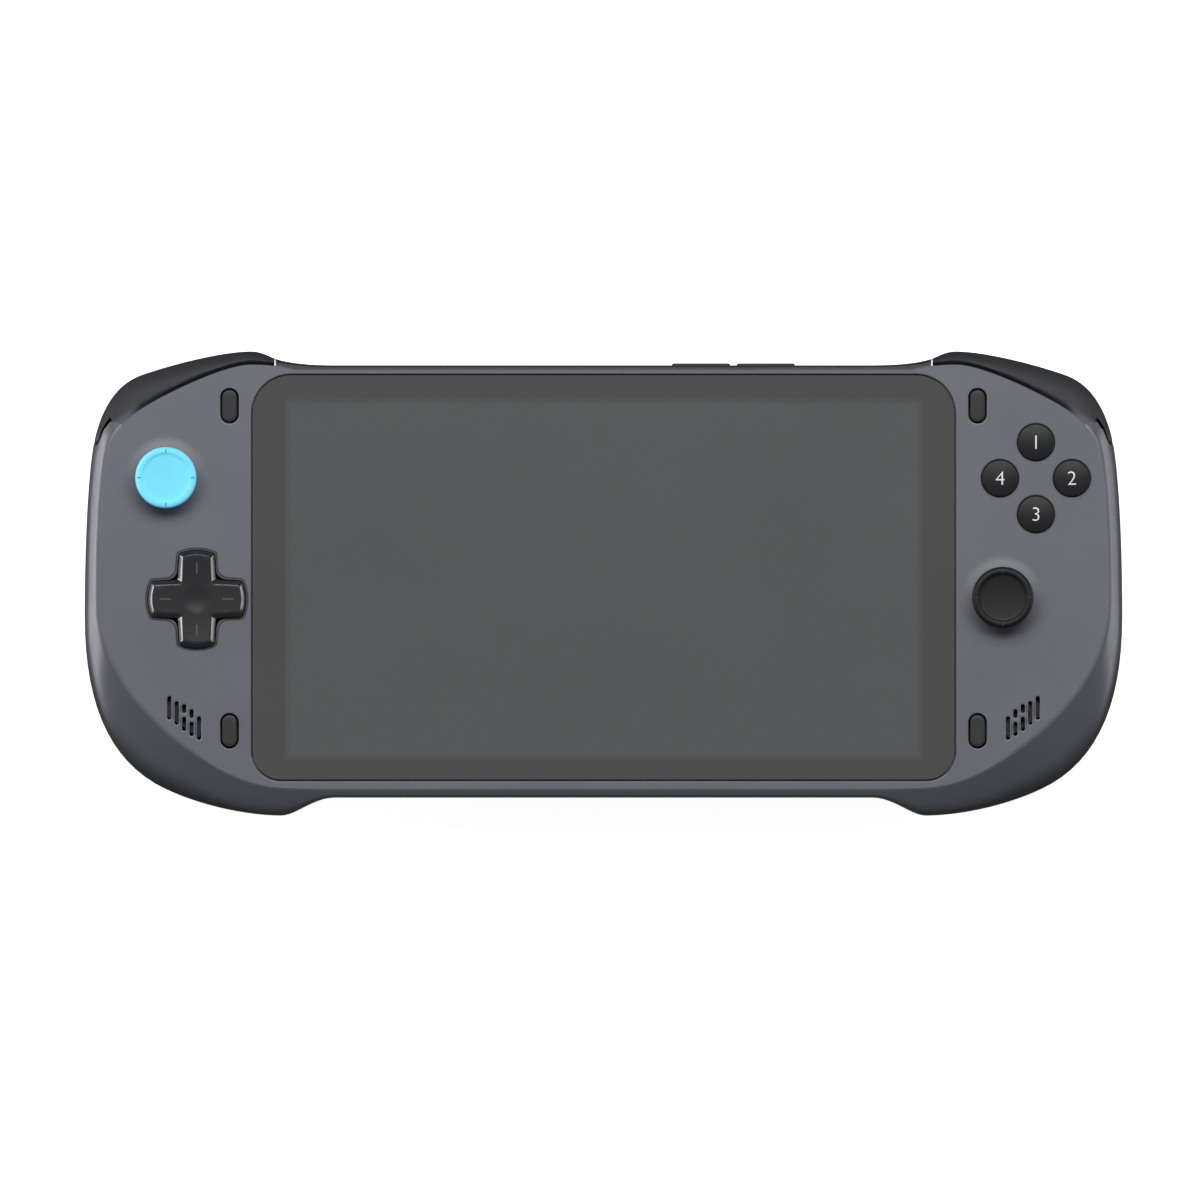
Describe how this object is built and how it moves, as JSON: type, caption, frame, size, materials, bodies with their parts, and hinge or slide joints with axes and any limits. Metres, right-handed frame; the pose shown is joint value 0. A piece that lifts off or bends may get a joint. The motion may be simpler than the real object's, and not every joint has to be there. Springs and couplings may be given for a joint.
{
  "type": "handheld game console",
  "caption": "Wide handheld game console with a glass-fronted screen between two gripped control panels, with thumb sticks, a D-pad, round buttons, pill keys, bumpers and triggers.",
  "frame": {"origin": "under the middle of the body, in the plane of the grips' backs, which it lies on", "axes": "+X to the player's right along the screen, +Y to the top edge, +Z out of the screen"},
  "size_m": [0.2544, 0.1138, 0.0404],
  "materials": {
    "front_shell": "satin moulded grey plastic",
    "rear_shell": "fine-textured dark grey plastic",
    "glass": "smoked cover glass with a dark border",
    "display": "display panel, switched off",
    "light_metal": "pressed sheet",
    "board": "solder mask",
    "copper": "copper sheet",
    "battery": "wrapped cell",
    "wire": "insulated wire",
    "ribbon": "flexible circuit",
    "steel": "stamped or turned steel",
    "dark_steel": "blackened steel",
    "black_plastic": "moulded black plastic",
    "white_plastic": "slippery moulded plastic",
    "blue_cap": "bright blue moulded rubber",
    "black_cap": "black moulded rubber",
    "dpad": "dark gloss plastic",
    "button": "dark domed plastic",
    "key": "dark satin plastic",
    "bumper": "dark satin plastic",
    "pad": "silicone rubber"
  },
  "bodies": {
    "chassis": {"front_shell": "front_shell", "rear_shell": "rear_shell", "cover_glass": "glass", "display_panel": "display", "midframe": "light_metal", "main_board": "board", "heat_spreader": "copper", "battery": "battery", "battery_lead": "wire", "display_ribbon": "ribbon", "left_ribbon": "ribbon", "right_ribbon": "ribbon", "port_board": "board", "usb_port": "steel", "headphone_jack": "black_plastic", "card_slot": "steel", "edge_key_board": "board", "left_control_board": "board", "right_control_board": "board", "left_speaker": "black_plastic", "right_speaker": "black_plastic", "left_stick_base": "black_plastic", "right_stick_base": "black_plastic", "dpad_post": "white_plastic", "dpad_pad": "pad", "action_pad": "pad", "pill_pads": "pad", "left_bumper_bracket": "light_metal", "right_bumper_bracket": "light_metal", "left_trigger_pin": "steel", "right_trigger_pin": "steel", "case_screws": "dark_steel", "board_screws": "steel"},
    "left_yoke": {"left_stick_yoke": "light_metal"},
    "left_rocker": {"left_stick_rocker": "white_plastic"},
    "left_stick": {"left_stick_stem": "white_plastic", "left_stick_cap": "blue_cap"},
    "right_yoke": {"right_stick_yoke": "light_metal"},
    "right_rocker": {"right_stick_rocker": "white_plastic"},
    "right_stick": {"right_stick_stem": "white_plastic", "right_stick_cap": "black_cap"},
    "dpad_bead": {"dpad_bead": "steel"},
    "dpad": {"dpad": "dpad"},
    "action_top": {"action_top": "button"},
    "action_right": {"action_right": "button"},
    "action_bottom": {"action_bottom": "button"},
    "action_left": {"action_left": "button"},
    "upper_left_key": {"upper_left_key": "key"},
    "upper_right_key": {"upper_right_key": "key"},
    "lower_left_key": {"lower_left_key": "key"},
    "lower_right_key": {"lower_right_key": "key"},
    "volume_down": {"volume_down": "key"},
    "volume_up": {"volume_up": "key"},
    "power_key": {"power_key": "key"},
    "left_bumper": {"left_bumper": "bumper"},
    "right_bumper": {"right_bumper": "bumper"},
    "left_trigger": {"left_trigger": "bumper"},
    "right_trigger": {"right_trigger": "bumper"}
  },
  "joints": [
    {"name": "left_stick_up_down", "type": "hinge", "parent": "chassis", "child": "left_yoke", "pos_m": [-0.1071, 0.0259, 0.026], "axis": [1, 0, 0], "range_deg": [-15, 15], "stiffness_Nm_per_rad": 0.05},
    {"name": "left_stick_left_right", "type": "hinge", "parent": "left_yoke", "child": "left_rocker", "pos_m": [-0.1071, 0.0259, 0.026], "axis": [0, 1, 0], "range_deg": [-15, 15], "stiffness_Nm_per_rad": 0.05},
    {"name": "left_stick_press", "type": "slide", "parent": "left_rocker", "child": "left_stick", "axis": [0, 0, 1], "range_m": [-0.0005, 0], "stiffness_N_per_m": 3000, "springref_m": 0.0003},
    {"name": "right_stick_up_down", "type": "hinge", "parent": "chassis", "child": "right_yoke", "pos_m": [0.0977, -0.0034, 0.026], "axis": [1, 0, 0], "range_deg": [-15, 15], "stiffness_Nm_per_rad": 0.05},
    {"name": "right_stick_left_right", "type": "hinge", "parent": "right_yoke", "child": "right_rocker", "pos_m": [0.0977, -0.0034, 0.026], "axis": [0, 1, 0], "range_deg": [-15, 15], "stiffness_Nm_per_rad": 0.05},
    {"name": "right_stick_press", "type": "slide", "parent": "right_rocker", "child": "right_stick", "axis": [0, 0, 1], "range_m": [-0.0005, 0], "stiffness_N_per_m": 3000, "springref_m": 0.0003},
    {"name": "dpad_up_down", "type": "hinge", "parent": "chassis", "child": "dpad_bead", "pos_m": [-0.0996, -0.0038, 0.031], "axis": [1, 0, 0], "range_deg": [-4, 4], "stiffness_Nm_per_rad": 0.2, "deforming": ["dpad_pad"]},
    {"name": "dpad_left_right", "type": "hinge", "parent": "dpad_bead", "child": "dpad", "pos_m": [-0.0996, -0.0038, 0.031], "axis": [0, 1, 0], "range_deg": [-4, 4], "stiffness_Nm_per_rad": 0.2},
    {"name": "action_top_press", "type": "slide", "parent": "chassis", "child": "action_top", "axis": [0, 0, 1], "range_m": [-0.0012, 0], "stiffness_N_per_m": 500, "springref_m": 0.0006, "deforming": ["action_pad"]},
    {"name": "action_right_press", "type": "slide", "parent": "chassis", "child": "action_right", "axis": [0, 0, 1], "range_m": [-0.0012, 0], "stiffness_N_per_m": 500, "springref_m": 0.0006},
    {"name": "action_bottom_press", "type": "slide", "parent": "chassis", "child": "action_bottom", "axis": [0, 0, 1], "range_m": [-0.0012, 0], "stiffness_N_per_m": 500, "springref_m": 0.0006},
    {"name": "action_left_press", "type": "slide", "parent": "chassis", "child": "action_left", "axis": [0, 0, 1], "range_m": [-0.0012, 0], "stiffness_N_per_m": 500, "springref_m": 0.0006},
    {"name": "upper_left_key_press", "type": "slide", "parent": "chassis", "child": "upper_left_key", "axis": [0, 0, 1], "range_m": [-0.0005, 0], "stiffness_N_per_m": 1500, "springref_m": 0.0003, "deforming": ["pill_pads"]},
    {"name": "upper_right_key_press", "type": "slide", "parent": "chassis", "child": "upper_right_key", "axis": [0, 0, 1], "range_m": [-0.0005, 0], "stiffness_N_per_m": 1500, "springref_m": 0.0003},
    {"name": "lower_left_key_press", "type": "slide", "parent": "chassis", "child": "lower_left_key", "axis": [0, 0, 1], "range_m": [-0.0005, 0], "stiffness_N_per_m": 1500, "springref_m": 0.0003},
    {"name": "lower_right_key_press", "type": "slide", "parent": "chassis", "child": "lower_right_key", "axis": [0, 0, 1], "range_m": [-0.0005, 0], "stiffness_N_per_m": 1500, "springref_m": 0.0003},
    {"name": "volume_down_press", "type": "slide", "parent": "chassis", "child": "volume_down", "axis": [0, 1, 0], "range_m": [-0.0004, 0], "stiffness_N_per_m": 2000, "springref_m": 0.0003},
    {"name": "volume_up_press", "type": "slide", "parent": "chassis", "child": "volume_up", "axis": [0, 1, 0], "range_m": [-0.0004, 0], "stiffness_N_per_m": 2000, "springref_m": 0.0003},
    {"name": "power_key_press", "type": "slide", "parent": "chassis", "child": "power_key", "axis": [0, 1, 0], "range_m": [-0.0004, 0], "stiffness_N_per_m": 2000, "springref_m": 0.0003},
    {"name": "left_bumper_press", "type": "hinge", "parent": "chassis", "child": "left_bumper", "pos_m": [-0.084, 0.05, 0.0255], "axis": [0, 0, 1], "range_deg": [0, 1.2], "stiffness_Nm_per_rad": 1.5, "springref_deg": -1.15},
    {"name": "right_bumper_press", "type": "hinge", "parent": "chassis", "child": "right_bumper", "pos_m": [0.084, 0.05, 0.0255], "axis": [0, 0, 1], "range_deg": [-1.2, 0], "stiffness_Nm_per_rad": 1.5, "springref_deg": 1.15},
    {"name": "left_trigger_pull", "type": "hinge", "parent": "chassis", "child": "left_trigger", "pos_m": [-0.1005, 0.0435, 0.014], "axis": [1, 0, 0], "range_deg": [-16, 0], "stiffness_Nm_per_rad": 0.04, "springref_deg": 17.19},
    {"name": "right_trigger_pull", "type": "hinge", "parent": "chassis", "child": "right_trigger", "pos_m": [0.1005, 0.0435, 0.014], "axis": [1, 0, 0], "range_deg": [-16, 0], "stiffness_Nm_per_rad": 0.04, "springref_deg": 17.19}
  ]
}
